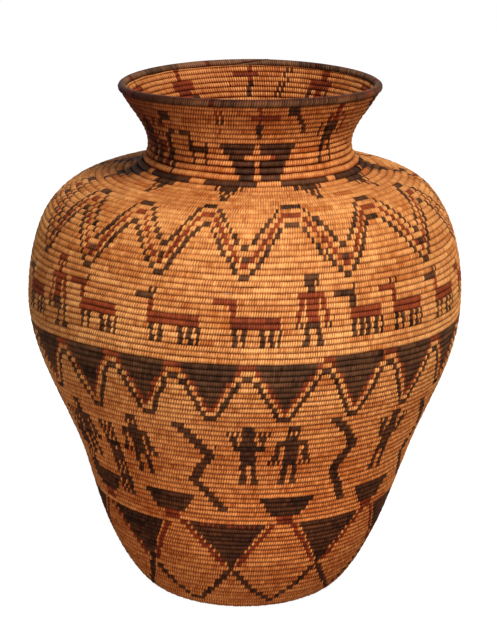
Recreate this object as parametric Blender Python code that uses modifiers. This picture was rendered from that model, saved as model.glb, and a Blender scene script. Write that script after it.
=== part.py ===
"""Coiled storage olla, a tall round basket with a narrow neck.

One coil, a bundle of three willow rods, winds from a start knot in the middle of the
base up to the rim, and each turn is sewn to the turn below it. The wall has no other
frame. Each object here is the stretch of sewn coil between two places where the wall
changes its slope, with a rib for each turn of the coil. The last turn is shown as it is
made: three rods in their sewing.

Metres, +Z up, with the origin under the middle of the base.
"""

import math

import bpy
from mathutils import Vector
from mathutils.geometry import interpolate_bezier

# Coil and seams
coil_pitch = 0.006
rib_depth = 0.0015
wall_thickness = 0.0065
seam_gap = 0.0003
merge_distance = 0.00005

# Base
start_knot_radius = 0.009
base_radius = 0.073

# Outer surface of the wall: how far each stretch spreads or draws in, and how far it rises
heel_spread = 0.035
heel_rise = 0.015
lower_wall_spread = 0.0295
lower_wall_rise = 0.0505
middle_wall_spread = 0.0325
middle_wall_rise = 0.0945
upper_wall_spread = 0.0368
upper_wall_rise = 0.090
belly_spread = 0.0107
belly_rise = 0.059
shoulder_turn_draw = 0.0075
shoulder_turn_rise = 0.0585
shoulder_draw = 0.044
shoulder_rise = 0.0588
neck_root_draw = 0.038
neck_root_rise = 0.0105
neck_waist_draw = 0.027
neck_waist_rise = 0.0262
neck_flare_spread = 0.015
neck_flare_rise = 0.0357
rim_seat_spread = 0.0112
rim_seat_rise = 0.0188

# Rim turn
rim_coil_diameter = 0.0068
rim_splint_thickness = 0.0007
rim_end_gap_degrees = 5

# Slope of the wall at the top of each stretch, in degrees from level, upright at 90
base_slope = 0
heel_slope = 50
lower_wall_slope = 66
middle_wall_slope = 70
upper_wall_slope = 71
belly_slope = 90
shoulder_turn_slope = 105
shoulder_slope = 156
neck_root_slope = 172
neck_waist_slope = 88
neck_flare_slope = 56
rim_seat_slope = 63

# Roundness
turn_steps = 28
rim_steps = 40
rim_sides = 8
degrees_per_outline_point = 18
sharp_edge_degrees = 35
measuring_points = 9

# Colours, as linear red, green and blue
willow_colour = (0.58, 0.20, 0.055, 1)
dark_sewing_colour = (0.055, 0.022, 0.012, 1)
peeled_rod_colour = (0.62, 0.36, 0.16, 1)
sewn_roughness = 0.62
rod_roughness = 0.7


def next_station(below, spread, rise, slope):
    """The place on the wall's outer surface at the top of a stretch: its point and slope."""
    point, _ = below
    return point + Vector((spread, 0, rise)), math.radians(slope)


def along(slope):
    """Unit vector that climbs the wall."""
    return Vector((math.cos(slope), 0, math.sin(slope)))


def inward(slope):
    """Unit vector from the wall's outer surface into the basket."""
    return Vector((-math.sin(slope), 0, math.cos(slope)))


knot_edge = Vector((start_knot_radius, 0, 0)), math.radians(base_slope)
base_edge = Vector((base_radius, 0, 0)), math.radians(base_slope)
heel = next_station(base_edge, heel_spread, heel_rise, heel_slope)
lower_wall = next_station(heel, lower_wall_spread, lower_wall_rise, lower_wall_slope)
middle_wall = next_station(lower_wall, middle_wall_spread, middle_wall_rise, middle_wall_slope)
upper_wall = next_station(middle_wall, upper_wall_spread, upper_wall_rise, upper_wall_slope)
belly = next_station(upper_wall, belly_spread, belly_rise, belly_slope)
shoulder_turn = next_station(belly, -shoulder_turn_draw, shoulder_turn_rise, shoulder_turn_slope)
shoulder = next_station(shoulder_turn, -shoulder_draw, shoulder_rise, shoulder_slope)
neck_root = next_station(shoulder, -neck_root_draw, neck_root_rise, neck_root_slope)
neck_waist = next_station(neck_root, -neck_waist_draw, neck_waist_rise, neck_waist_slope)
neck_flare = next_station(neck_waist, neck_flare_spread, neck_flare_rise, neck_flare_slope)
rim_seat = next_station(neck_flare, rim_seat_spread, rim_seat_rise, rim_seat_slope)

# Each stretch of coil runs from one place on the wall to the next. The base stands flat,
# so its underside has no ribs. The mouth shows the ribs inside the neck as well.
stretches = (
    ("heel_coils", base_edge, heel),
    ("lower_wall_coils", heel, lower_wall),
    ("middle_wall_coils", lower_wall, middle_wall),
    ("upper_wall_coils", middle_wall, upper_wall),
    ("belly_coils", upper_wall, belly),
    ("shoulder_turn_coils", belly, shoulder_turn),
    ("shoulder_coils", shoulder_turn, shoulder),
    ("neck_root_coils", shoulder, neck_root),
)
mouth_stretches = (
    ("neck_waist_coils", neck_root, neck_waist),
    ("neck_flare_coils", neck_waist, neck_flare),
    ("rim_seat_coils", neck_flare, rim_seat),
)


def clear_scene():
    for old in list(bpy.data.objects):
        bpy.data.objects.remove(old, do_unlink=True)


def new_material(name, colour, roughness):
    material = bpy.data.materials.new(name)
    material.use_nodes = True
    shader = material.node_tree.nodes["Principled BSDF"]
    shader.inputs["Base Color"].default_value = colour
    shader.inputs["Roughness"].default_value = roughness
    shader.inputs["Metallic"].default_value = 0
    return material


def add_to_basket(piece, colour, roughness):
    """Move a piece to the basket's collection and give it a material of its own."""
    for holder in list(piece.users_collection):
        holder.objects.unlink(piece)
    basket.objects.link(piece)
    piece.data.materials.append(new_material(piece.name, colour, roughness))


def wall_curve(start, end, count):
    """Points and slopes up the wall's outer surface between two stations.

    The surface is one cubic with the slope of each station at its ends. Its handles are
    those of a circular arc with the same turn.
    """
    start_point, start_slope = start
    end_point, end_slope = end
    turn = abs(end_slope - start_slope)
    handle = (end_point - start_point).length / (3 * math.cos(turn / 4) ** 2)
    points = interpolate_bezier(
        start_point,
        start_point + along(start_slope) * handle,
        end_point - along(end_slope) * handle,
        end_point,
        count,
    )
    slopes = [start_slope]
    for before, after in zip(points, points[2:]):
        chord = after - before
        slopes.append(math.atan2(chord.z, chord.x))
    slopes.append(end_slope)
    return list(zip(points, slopes))


def end_half_a_seam_short(side, start, end):
    """Draw in the two ends of a side of the wall, so that neighbours don't touch."""
    side[0] = side[0] + along(start[1]) * seam_gap / 2
    side[-1] = side[-1] - along(end[1]) * seam_gap / 2
    return side


def smooth_side(start, end, depth):
    """Points up a side of the wall that lies this deep behind its outer surface."""
    turn = abs(end[1] - start[1])
    count = 2 + math.ceil(math.degrees(turn) / degrees_per_outline_point)
    side = [point + inward(slope) * depth for point, slope in wall_curve(start, end, count)]
    return end_half_a_seam_short(side, start, end)


def ribbed_side(start, end, crest_depth, valley_depth):
    """Points up a side with a rib for each turn of coil, and a valley at both ends."""
    measured = [point for point, _ in wall_curve(start, end, measuring_points)]
    length = sum((after - before).length for before, after in zip(measured, measured[1:]))
    ribs = max(1, round(length / coil_pitch))
    side = []
    for index, (point, slope) in enumerate(wall_curve(start, end, 2 * ribs + 1)):
        depth = crest_depth if index % 2 else valley_depth
        side.append(point + inward(slope) * depth)
    return end_half_a_seam_short(side, start, end)


def outline_mesh(name, points):
    """A closed loop of edges through the points."""
    mesh = bpy.data.meshes.new(name)
    edges = [(index, (index + 1) % len(points)) for index in range(len(points))]
    mesh.from_pydata(points, edges, [])
    return mesh


def turn_about_z(piece, degrees, steps):
    """Sweep the piece's outline round the basket's axis."""
    screw = piece.modifiers.new("turn", "SCREW")
    screw.axis = "Z"
    screw.angle = math.radians(degrees)
    screw.steps = steps
    screw.render_steps = steps
    screw.use_merge_vertices = True
    screw.merge_threshold = merge_distance
    screw.use_smooth_shade = True


def make_start_knot():
    """The tight first turn, where the coil begins."""
    bpy.ops.mesh.primitive_cylinder_add(
        vertices=turn_steps,
        radius=start_knot_radius - seam_gap / 2,
        depth=wall_thickness,
        location=(0, 0, wall_thickness / 2),
    )
    knot = bpy.context.object
    knot.name = "start_knot"
    add_to_basket(knot, willow_colour, sewn_roughness)


def make_ring(name, outer, inner):
    """A ring of wall between an outer and an inner side, smooth round and crisp at its ribs."""
    profile = bpy.data.objects.new(name, outline_mesh(name, outer[::-1] + inner))
    bpy.context.scene.collection.objects.link(profile)
    turn_about_z(profile, 360, turn_steps)
    evaluated = profile.evaluated_get(bpy.context.evaluated_depsgraph_get())
    ring = bpy.data.meshes.new_from_object(evaluated)
    bpy.data.objects.remove(profile)
    ring.set_sharp_from_angle(angle=math.radians(sharp_edge_degrees))
    add_to_basket(bpy.data.objects.new(name, ring), willow_colour, sewn_roughness)


def make_base():
    """The flat turns between the start knot and the heel."""
    underside = smooth_side(knot_edge, base_edge, 0)
    top = smooth_side(knot_edge, base_edge, wall_thickness)
    make_ring("base_coils", underside, top)


def make_stretch(name, start, end, ribs_inside):
    """Turns of sewn coil between two stations, as one ring of wall."""
    outer = ribbed_side(start, end, 0, rib_depth)
    if ribs_inside:
        inner = ribbed_side(start, end, wall_thickness, wall_thickness - rib_depth)
    else:
        inner = smooth_side(start, end, wall_thickness)
    make_ring(name, outer, inner)


def rim_centre():
    """Centre of the rim turn's section: on the wall's middle line, clear of its edge."""
    seat_point, seat_slope = rim_seat
    middle = seat_point + inward(seat_slope) * wall_thickness / 2
    return middle + along(seat_slope) * (rim_coil_diameter + seam_gap) / 2


def make_rim_sewing():
    """The dark sewing round the last turn, a thin sleeve that is open at its two ends."""
    centre = rim_centre()
    section = []
    for side in range(rim_sides):
        angle = math.tau * side / rim_sides
        spoke = Vector((math.cos(angle), 0, -math.sin(angle)))
        section.append(centre + spoke * rim_coil_diameter / 2)
    piece = bpy.data.objects.new("rim_sewing", outline_mesh("rim_sewing", section))
    piece.rotation_euler.z = math.radians(90 + rim_end_gap_degrees / 2)
    turn_about_z(piece, 360 - rim_end_gap_degrees, rim_steps)
    skin = piece.modifiers.new("splint", "SOLIDIFY")
    skin.thickness = rim_splint_thickness
    skin.offset = -1
    skin.use_even_offset = True
    add_to_basket(piece, dark_sewing_colour, sewn_roughness)


def make_rim_rods():
    """Three rods in a triangle, as thick as their sewing lets them be."""
    bore_radius = rim_coil_diameter / 2 * math.cos(math.pi / rim_sides) - rim_splint_thickness
    triangle_radius = (bore_radius - seam_gap / 2) / (1 + math.sin(math.radians(60)))
    rod_radius = triangle_radius * math.sin(math.radians(60)) - seam_gap / 2
    centre = rim_centre()
    for number, name in enumerate(("rim_rod_upper", "rim_rod_inner", "rim_rod_outer")):
        angle = math.radians(90 + 120 * number)
        middle = centre + Vector((math.cos(angle), 0, math.sin(angle))) * triangle_radius
        curve = bpy.data.curves.new(name, "CURVE")
        curve.dimensions = "3D"
        curve.bevel_depth = rod_radius
        curve.bevel_resolution = 1
        curve.use_fill_caps = True
        path = curve.splines.new("POLY")
        path.points.add(rim_steps)
        for step, point in enumerate(path.points):
            share = step / rim_steps
            turned = math.radians(90 + rim_end_gap_degrees / 2 + share * (360 - rim_end_gap_degrees))
            point.co = (middle.x * math.cos(turned), middle.x * math.sin(turned), middle.z, 1)
        rod = bpy.data.objects.new(name, curve)
        add_to_basket(rod, peeled_rod_colour, rod_roughness)


clear_scene()
basket = bpy.data.collections.new("storage_olla")
bpy.context.scene.collection.children.link(basket)
make_start_knot()
make_base()
for stretch_name, lower_end, upper_end in stretches:
    make_stretch(stretch_name, lower_end, upper_end, ribs_inside=False)
for stretch_name, lower_end, upper_end in mouth_stretches:
    make_stretch(stretch_name, lower_end, upper_end, ribs_inside=True)
make_rim_sewing()
make_rim_rods()
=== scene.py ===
# %% [markdown]
# # A coiled storage olla
# The real basket is one coil. Three peeled willow rods lie in a triangle and wind up from
# the middle of the base, and a flat splint sews each turn to the turn below it. The plain
# model that is loaded here has the wall's true outline, as rings with a level rib for each
# turn. This lesson winds the coil over it, sews more than forty thousand stitches, and
# picks the splint of each one.

# %% Load the plain model
import math

import bpy
import numpy as np
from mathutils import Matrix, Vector
from mathutils.geometry import interpolate_bezier


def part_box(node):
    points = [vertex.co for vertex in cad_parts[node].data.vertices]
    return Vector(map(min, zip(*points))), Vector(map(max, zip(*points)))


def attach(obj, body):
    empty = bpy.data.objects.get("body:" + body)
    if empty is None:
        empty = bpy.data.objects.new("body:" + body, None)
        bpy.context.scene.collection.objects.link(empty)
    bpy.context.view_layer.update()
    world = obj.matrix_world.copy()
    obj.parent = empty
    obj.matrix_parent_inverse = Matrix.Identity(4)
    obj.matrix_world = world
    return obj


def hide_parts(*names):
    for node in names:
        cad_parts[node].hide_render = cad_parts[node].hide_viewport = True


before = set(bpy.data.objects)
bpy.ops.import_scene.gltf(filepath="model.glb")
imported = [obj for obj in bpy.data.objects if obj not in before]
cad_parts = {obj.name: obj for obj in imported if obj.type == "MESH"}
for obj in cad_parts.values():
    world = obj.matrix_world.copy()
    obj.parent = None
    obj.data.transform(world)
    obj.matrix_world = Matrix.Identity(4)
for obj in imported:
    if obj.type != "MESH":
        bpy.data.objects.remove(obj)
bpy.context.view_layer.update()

mm = 0.001

# %% [markdown]
# Two jobs come up again and again: an object is put in the scene, and what its modifier or
# its curve makes is taken as a plain mesh.

# %% Objects and meshes


def new_object(name, data):
    """A new object in the scene."""
    made = bpy.data.objects.new(name, data)
    bpy.context.scene.collection.objects.link(made)
    return made


def made_mesh(maker):
    """The mesh that an object's modifier or curve makes. The object itself isn't kept."""
    depsgraph = bpy.context.evaluated_depsgraph_get()
    mesh = bpy.data.meshes.new_from_object(maker.evaluated_get(depsgraph))
    bpy.data.objects.remove(maker)
    return mesh


# %% [markdown]
# ## The camera
# The photograph looks down on the basket by about 16 degrees from four basket heights away,
# so the lens is long. The camera comes first, because everything is judged through it.

# %% Camera
degrees_down = 16.11
camera_data = bpy.data.cameras.new("camera")
camera_data.sensor_width = 36
camera_data.lens = 117
camera_data.clip_end = 20
camera = new_object("camera", camera_data)
camera.location = (7.0 * mm, -2026.5 * mm, 863.2 * mm)
camera.rotation_euler = (math.radians(90 - degrees_down), 0, 0)
bpy.context.scene.camera = camera
print("camera looks down by", degrees_down, "degrees")

# %% [markdown]
# ## The wall's outline
# The outline is a chain of cubic curves, one for each stretch of wall. A stretch has its
# spread and its rise in millimetres, and the slope of its top in degrees from level. The
# handles are those of a circular arc that turns as much. It is kept as arrays, so that any
# distance along the wall can be looked up: the coil is wound by distance along the wall and
# not by height.

# %% Outline of the wall
wall_thickness = 6.5 * mm
base_radius = 73 * mm
stretches = (
    ("heel_coils", 35, 15, 50),
    ("lower_wall_coils", 29.5, 50.5, 66),
    ("middle_wall_coils", 32.5, 94.5, 70),
    ("upper_wall_coils", 36.8, 90, 71),
    ("belly_coils", 10.7, 59, 90),
    ("shoulder_turn_coils", -7.5, 58.5, 105),
    ("shoulder_coils", -44, 58.8, 156),
    ("neck_root_coils", -38, 10.5, 172),
    ("neck_waist_coils", -27, 26.2, 88),
    ("neck_flare_coils", 15, 35.7, 56),
    ("rim_seat_coils", 11.2, 18.8, 63),
)
points_per_stretch = 60


def along(slope):
    """Unit vector that climbs the wall."""
    return Vector((math.cos(slope), 0, math.sin(slope)))


def wall_outline():
    """Points up the wall's outer surface, and the distance along it where each stretch ends."""
    corner = Vector((base_radius, 0, 0))
    slope = 0.0
    points = [Vector((0, 0, 0)), corner]
    ends = {"base_coils": base_radius}
    length = base_radius
    for name, spread, rise, slope_at_top in stretches:
        top = corner + Vector((spread * mm, 0, rise * mm))
        top_slope = math.radians(slope_at_top)
        handle = (top - corner).length / (3 * math.cos((top_slope - slope) / 4) ** 2)
        run = interpolate_bezier(
            corner,
            corner + along(slope) * handle,
            top - along(top_slope) * handle,
            top,
            points_per_stretch,
        )
        length += sum((after - before).length for before, after in zip(run, run[1:]))
        points += run[1:]
        ends[name] = length
        corner, slope = top, top_slope
    return np.array([(point.x, point.z) for point in points]), ends


outline, stretch_ends = wall_outline()
outline_steps = np.diff(outline, axis=0)
outline_length = np.concatenate([[0], np.cumsum(np.hypot(*outline_steps.T))])
step_slopes = np.arctan2(outline_steps[:, 1], outline_steps[:, 0])
outline_slope = np.interp(
    outline_length,
    (outline_length[1:] + outline_length[:-1]) / 2,
    step_slopes,
)
wall_length = outline_length[-1]


def on_wall(length):
    """Radius, height and slope of the outer surface at this distance along the wall."""
    radius = np.interp(length, outline_length, outline[:, 0])
    height = np.interp(length, outline_length, outline[:, 1])
    slope = np.interp(length, outline_length, outline_slope)
    return radius, height, slope


for name in ("belly_coils", "rim_seat_coils"):
    plain_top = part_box(name)[1].z
    dressed_top = on_wall(stretch_ends[name])[1]
    print(name, "top, mm:", round(plain_top / mm, 1), round(dressed_top / mm, 1))

# %% [markdown]
# ## How evenly the coil was wound
# A maker's rods differ in thickness, so the turns are not equally tall. The pace list says
# how far along the wall the coil has come after so many turns, and a smooth curve joins
# the points. A basket also leans a little, because it is built by eye: the sideways drift
# and the tilt of the turns are given at a few heights, the turns at the belly sag along the
# wall at the two sides, and the mouth dips at its sides.

# %% Pace, drift and tilt
pace_turns = np.array([0, 22, 28, 34, 41, 47, 53, 58, 64, 70, 77, 83, 89, 95, 99, 104, 110, 117.25])
pace_lengths = mm * np.array(
    [0, 140, 179.5, 211.5, 248.5, 283.5, 320, 350.5, 384, 419, 458.5, 492, 526.5, 564, 593, 629, 663.5, 705.5]
)
start_angle = 1.5
drift_heights = np.array([0, 60, 150, 300, 400, 430, 460, 525]) * mm
drifts = np.array([1, 0, 3.5, 3, 5.5, 8.5, 8.2, 8.6]) * mm
tilt_heights = np.array([0, 60, 380, 430, 525]) * mm
tilts = np.radians([0, 1.0, 1.0, 0.1, 0.1])
side_dip = 3.1 * mm
back_dip = 2.2 * mm
dip_heights = np.array([465, 525]) * mm
sag_heights = np.array([190, 250, 330, 400]) * mm
sags = ((-85, 50, 11 * mm), (70, 45, 3.2 * mm))


def pace_slopes():
    """Turn heights at the pace points, eased so that the pace never overshoots."""
    gaps = np.diff(pace_turns)
    rates = np.diff(pace_lengths) / gaps
    before, after = gaps[:-1], gaps[1:]
    inner = 3 * (before + after) / (
        (2 * after + before) / rates[:-1] + (after + 2 * before) / rates[1:]
    )
    return np.concatenate([rates[:1], inner, rates[-1:]])


pace_rates = pace_slopes()


def length_at(turn):
    """Distance along the wall of the coil's middle after this many turns."""
    inside = np.clip(turn, pace_turns[0], pace_turns[-1])
    at = np.clip(np.searchsorted(pace_turns, inside) - 1, 0, len(pace_turns) - 2)
    gap = (pace_turns[1:] - pace_turns[:-1])[at]
    share = (inside - pace_turns[at]) / gap
    low, high = pace_lengths[at], pace_lengths[at + 1]
    length = (
        (2 * share**3 - 3 * share**2 + 1) * low
        + (share**3 - 2 * share**2 + share) * gap * pace_rates[at]
        + (3 * share**2 - 2 * share**3) * high
        + (share**3 - share**2) * gap * pace_rates[at + 1]
    )
    past = np.maximum(turn - pace_turns[-1], 0) * pace_rates[-1]
    before = np.minimum(turn - pace_turns[0], 0) * pace_rates[0]
    return length + past + before


def away(angle, centre):
    """Degrees from a centre line, positive to the right."""
    return (angle - centre + 180) % 360 - 180


def wound_at(turn):
    """Distance along the wall where the coil lies, with the sag of its turns at the sides."""
    length = length_at(turn)
    height = np.interp(length, outline_length, outline[:, 1])
    angle = start_angle - 360 * turn
    for middle, half_width, depth in sags:
        share = np.minimum(np.abs(away(angle, middle)) / half_width, 1)
        bump = np.cos(share * math.pi / 2) ** 2
        length = length - depth * bump * np.interp(height, sag_heights, (0, 1, 1, 0))
    return length


def lean(points):
    """Move points of an upright basket to where the leaning one has them."""
    x, y, z = points.T
    angle = np.arctan2(x, -y)
    dip = side_dip * np.sin(angle) ** 2 + back_dip * np.sin(angle / 2) ** 2
    tilted = z - np.tan(np.interp(z, tilt_heights, tilts)) * x
    tilted -= dip * np.interp(z, dip_heights, (0, 1))
    return np.stack([x + np.interp(z, drift_heights, drifts), y, tilted], axis=1)


print("mean turn height, mm:", round(float(wall_length / pace_turns[-1] / mm), 2))

# %% [markdown]
# ## The coil's path
# The path is a chain of points, one for each half stitch, with what the sewing needs to
# know at each: the way out of the wall, the way up it, and half the height that this turn
# has between its neighbours. Each stitch goes in beside one of the turn below, so stitches
# lie in columns, and their width changes with the angle round the basket.
# A turn reaches from halfway to the turn below to halfway to the turn above. At the top
# there is no turn above, so the last one thins out to nothing, as the real one does.

# %% Path of the coil
samples_per_turn = 90
fewest_samples = 8
stitch_angles = (-180, -60, -25, 0, 25, 60, 180)
stitch_widths = (2.5 * mm, 2.9 * mm, 2.6 * mm, 2.3 * mm, 2.4 * mm, 2.8 * mm, 2.5 * mm)
innermost_girth = 5 * mm
overlap_share = 1.14
crest_inset = wall_thickness / 2 * 1.02
thinnest_half = 0.15 * mm


def direction(angle, slope):
    """The ways out of the wall and up it, for angles round the basket and wall slopes."""
    outward_flat = np.sin(slope)
    outward = np.stack(
        [outward_flat * np.sin(angle), -outward_flat * np.cos(angle), -np.cos(slope)], axis=1
    )
    uphill_flat = np.cos(slope)
    uphill = np.stack(
        [uphill_flat * np.sin(angle), -uphill_flat * np.cos(angle), np.sin(slope)], axis=1
    )
    return outward, uphill


def half_stitch_turns(first_turn, last_turn):
    """Turn numbers of the edges and crowns of all the stitches between two turn numbers."""
    count = max(fewest_samples, math.ceil((last_turn - first_turn) * samples_per_turn))
    turn = np.linspace(first_turn, last_turn, count + 1)
    girth = math.tau * on_wall(length_at(turn))[0] + innermost_girth
    width = np.interp(away(start_angle - 360 * turn, 0), stitch_angles, stitch_widths)
    per_step = (girth / width)[1:] * np.diff(turn) * 2
    passed = np.concatenate([[0], np.cumsum(per_step)])
    return np.interp(np.arange(int(passed[-1]) + 1), passed, turn)


def body_path(first_turn, last_turn):
    """Path of the coil between two turn numbers."""
    turn = half_stitch_turns(first_turn, last_turn)
    here = wound_at(turn)
    low = np.maximum((here + wound_at(turn - 1)) / 2, 0)
    high = np.minimum((here + wound_at(turn + 1)) / 2, wall_length)
    radius, height, slope = on_wall((low + high) / 2)
    angle = np.radians(start_angle - 360 * turn)
    outward, uphill = direction(angle, slope)
    surface = np.stack([radius * np.sin(angle), -radius * np.cos(angle), height], axis=1)
    centre = lean(surface - outward * crest_inset)
    half_height = np.maximum((high - low) / 2, thinnest_half) * overlap_share
    half_depth = np.full(len(turn), wall_thickness / 2)
    return centre, outward, uphill, half_height, half_depth, turn


def path_object(name, path):
    """A chain of edges that carries the path's facts as attributes of its points."""
    centre, outward, uphill, half_height, half_depth, turn = path
    mesh = bpy.data.meshes.new(name)
    edges = [(index, index + 1) for index in range(len(turn) - 1)]
    mesh.from_pydata(centre.tolist(), edges, [])
    for key, values in (("outward", outward), ("uphill", uphill)):
        layer = mesh.attributes.new(key, "FLOAT_VECTOR", "POINT")
        layer.data.foreach_set("vector", values.ravel())
    for key, values in (("half_height", half_height), ("half_depth", half_depth), ("turn", turn)):
        layer = mesh.attributes.new(key, "FLOAT", "POINT")
        layer.data.foreach_set("value", values)
    return new_object(name, mesh)


# %% [markdown]
# ## One helper for nodes
# Both the sewing and the finishes are node trees. This function adds a node, gives it its
# settings, and fills its sockets, which are named or counted from the first. A socket that
# is given a node is linked to that node's output.

# %% Add a node


def add_node(tree, kind, inputs=(), **settings):
    """Add a node. Its inputs are a list or a dictionary of nodes, sockets or plain values."""
    node = tree.nodes.new(kind)
    for key, value in settings.items():
        setattr(node, key, value)
    by_socket = inputs if isinstance(inputs, dict) else dict(enumerate(inputs))
    for key, value in by_socket.items():
        if isinstance(value, bpy.types.Node):
            value = next(socket for socket in value.outputs if socket.enabled)
        if isinstance(value, bpy.types.NodeSocket):
            tree.links.new(value, node.inputs[key])
        else:
            node.inputs[key].default_value = value
    return node


# %% [markdown]
# ## Sewing as geometry nodes
# A stitch repeats along the path, so Geometry Nodes make it. A section is swept along the
# path, and every second ring of it is drawn in, which gives one swelling for each stitch.
# The tree's inputs are its sizes: how the section's points crowd outward and how flat its
# crest is, how deep the grooves and the awl's notches are, how far a stitch leans along
# the coil, and how uneven the work is.

# %% The sewing tree and its inputs
sewing = bpy.data.node_groups.new("sewn_coil", "GeometryNodeTree")
sewing_inputs = (
    ("Crowding", "Float", 0.45),
    ("Flatness", "Float", 0.7),
    ("Groove", "Float", 0.23),
    ("Awl Notch", "Float", 0.3),
    ("Lean", "Float", 0.6 * mm),
    ("Unevenness", "Float", 0.09),
    ("Wander", "Float", 1.1 * mm),
    ("Slip", "Float", 0.12 * mm),
    ("Sides", "Int", 8),
    ("Seed", "Int", 1),
)
sewing.interface.new_socket("Path", in_out="INPUT", socket_type="NodeSocketGeometry")
for name, kind, value in sewing_inputs:
    socket = sewing.interface.new_socket(name, in_out="INPUT", socket_type="NodeSocket" + kind)
    socket.default_value = value
sewing.interface.new_socket("Finish", in_out="INPUT", socket_type="NodeSocketMaterial")
sewing.interface.new_socket("Coil", in_out="OUTPUT", socket_type="NodeSocketGeometry")
given = add_node(sewing, "NodeGroupInput").outputs
print("sewing sizes:", [name for name, *_ in sewing_inputs])

# %% [markdown]
# Each point of the path gives a ring, which keeps its number and its centre. The section
# is a circle of radius 1, with its points crowded outward, where they are seen, and with
# its crest flattened, as a splint pulled tight over three rods is.

# %% Sweep the section along the path
place = add_node(sewing, "GeometryNodeInputPosition")
number = add_node(sewing, "GeometryNodeInputIndex")
chain = add_node(sewing, "GeometryNodeMeshToCurve", {"Mesh": given["Path"]})
for name, kind, value in (("ring", "FLOAT", number), ("centre", "FLOAT_VECTOR", place)):
    chain = add_node(
        sewing,
        "GeometryNodeStoreNamedAttribute",
        {"Geometry": chain, "Name": name, "Value": value},
        data_type=kind,
        domain="POINT",
    )
circle = add_node(
    sewing, "GeometryNodeCurvePrimitiveCircle", {"Resolution": given["Sides"], "Radius": 1.0}
)
outward_part, upward_part, _ = add_node(sewing, "ShaderNodeSeparateXYZ", [place]).outputs
turned = add_node(sewing, "ShaderNodeMath", [upward_part, outward_part], operation="ARCTAN2")
pull = add_node(sewing, "ShaderNodeMath", [upward_part, given["Crowding"]], operation="MULTIPLY")
crowded = add_node(sewing, "ShaderNodeMath", [turned, pull], operation="SUBTRACT")
out_round = add_node(sewing, "ShaderNodeMath", [crowded], operation="COSINE")
up_round = add_node(sewing, "ShaderNodeMath", [crowded], operation="SINE")
out_size = add_node(sewing, "ShaderNodeMath", [out_round], operation="ABSOLUTE")
out_flat = add_node(sewing, "ShaderNodeMath", [out_size, given["Flatness"]], operation="POWER")
out_side = add_node(sewing, "ShaderNodeMath", [out_round], operation="SIGN")
out_signed = add_node(sewing, "ShaderNodeMath", [out_flat, out_side], operation="MULTIPLY")
shape = add_node(sewing, "ShaderNodeCombineXYZ", [out_signed, up_round])
shaped = add_node(sewing, "GeometryNodeSetPosition", {"Geometry": circle, "Position": shape})
profile = add_node(
    sewing,
    "GeometryNodeStoreNamedAttribute",
    {"Geometry": shaped, "Name": "section", "Value": place},
    data_type="FLOAT_VECTOR",
    domain="POINT",
)
swept = add_node(
    sewing,
    "GeometryNodeCurveToMesh",
    {"Curve": chain, "Profile Curve": profile, "Fill Caps": True},
)

# %% [markdown]
# Every second ring is a groove. There the section is drawn in, a little more at its upper
# side, and its upper edge is notched downward, where the next turn's splints go in.

# %% Grooves and notches
groove_slant_share = 0.2
groove_even_share = 0.9
known = {}
for name, kind in (
    ("ring", "FLOAT"),
    ("half_height", "FLOAT"),
    ("half_depth", "FLOAT"),
    ("centre", "FLOAT_VECTOR"),
    ("outward", "FLOAT_VECTOR"),
    ("uphill", "FLOAT_VECTOR"),
    ("section", "FLOAT_VECTOR"),
):
    known[name] = add_node(sewing, "GeometryNodeInputNamedAttribute", {"Name": name}, data_type=kind)
out_share, up_share, _ = add_node(sewing, "ShaderNodeSeparateXYZ", [known["section"]]).outputs
crown = add_node(sewing, "ShaderNodeMath", [known["ring"], 2.0], operation="MODULO")
groove = add_node(sewing, "ShaderNodeMath", [1.0, crown], operation="SUBTRACT")
slanted = add_node(
    sewing,
    "ShaderNodeMath",
    [up_share, groove_slant_share, groove_even_share],
    operation="MULTIPLY_ADD",
)
deepest = add_node(sewing, "ShaderNodeMath", [groove, given["Groove"]], operation="MULTIPLY")
drawn_in = add_node(sewing, "ShaderNodeMath", [deepest, slanted], operation="MULTIPLY")
upper = add_node(sewing, "ShaderNodeMath", [up_share, 0.0], operation="MAXIMUM")
notch = add_node(sewing, "ShaderNodeMath", [groove, given["Awl Notch"]], operation="MULTIPLY")
cut_down = add_node(sewing, "ShaderNodeMath", [upper, notch], operation="MULTIPLY")
up_notched = add_node(sewing, "ShaderNodeMath", [up_share, cut_down], operation="SUBTRACT")

# %% [markdown]
# No two stitches are pulled alike, so each stands a little prouder or lower than the next,
# and each ring slips a little along the coil. The rods aren't of one thickness either, so
# the coil wanders slowly up and down between its neighbours.

# %% The maker's unevenness
wander_pace = 0.035
pair = add_node(sewing, "ShaderNodeMath", [known["ring"], 0.5], operation="MULTIPLY")
stitch_number = add_node(sewing, "ShaderNodeMath", [pair], operation="FLOOR")
stitch_chance, ring_chance = (
    add_node(
        sewing,
        "FunctionNodeRandomValue",
        {2: -1.0, 3: 1.0, "ID": drawn_for, "Seed": given["Seed"]},
        data_type="FLOAT",
    )
    for drawn_for in (stitch_number, known["ring"])
)
luck = add_node(sewing, "ShaderNodeMath", [stitch_chance, given["Unevenness"]], operation="MULTIPLY")
level = add_node(sewing, "ShaderNodeMath", [luck, 1.0], operation="ADD")
thickness = add_node(sewing, "ShaderNodeMath", [level, drawn_in], operation="SUBTRACT")
slip = add_node(sewing, "ShaderNodeMath", [ring_chance, given["Slip"]], operation="MULTIPLY")
slow = add_node(sewing, "ShaderNodeMath", [known["ring"], wander_pace], operation="MULTIPLY")
wave = add_node(
    sewing, "ShaderNodeTexNoise", {"W": slow, "Scale": 1.0, "Detail": 1.0}, noise_dimensions="1D"
)
swing = add_node(sewing, "ShaderNodeMath", [wave, 0.5], operation="SUBTRACT")
wander = add_node(sewing, "ShaderNodeMath", [swing, given["Wander"]], operation="MULTIPLY")

# %% [markdown]
# Last, the section is laid at its ring's centre, between the way out and the way up, and
# leaned along the coil. The tree ends in real geometry with its finish.

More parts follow.
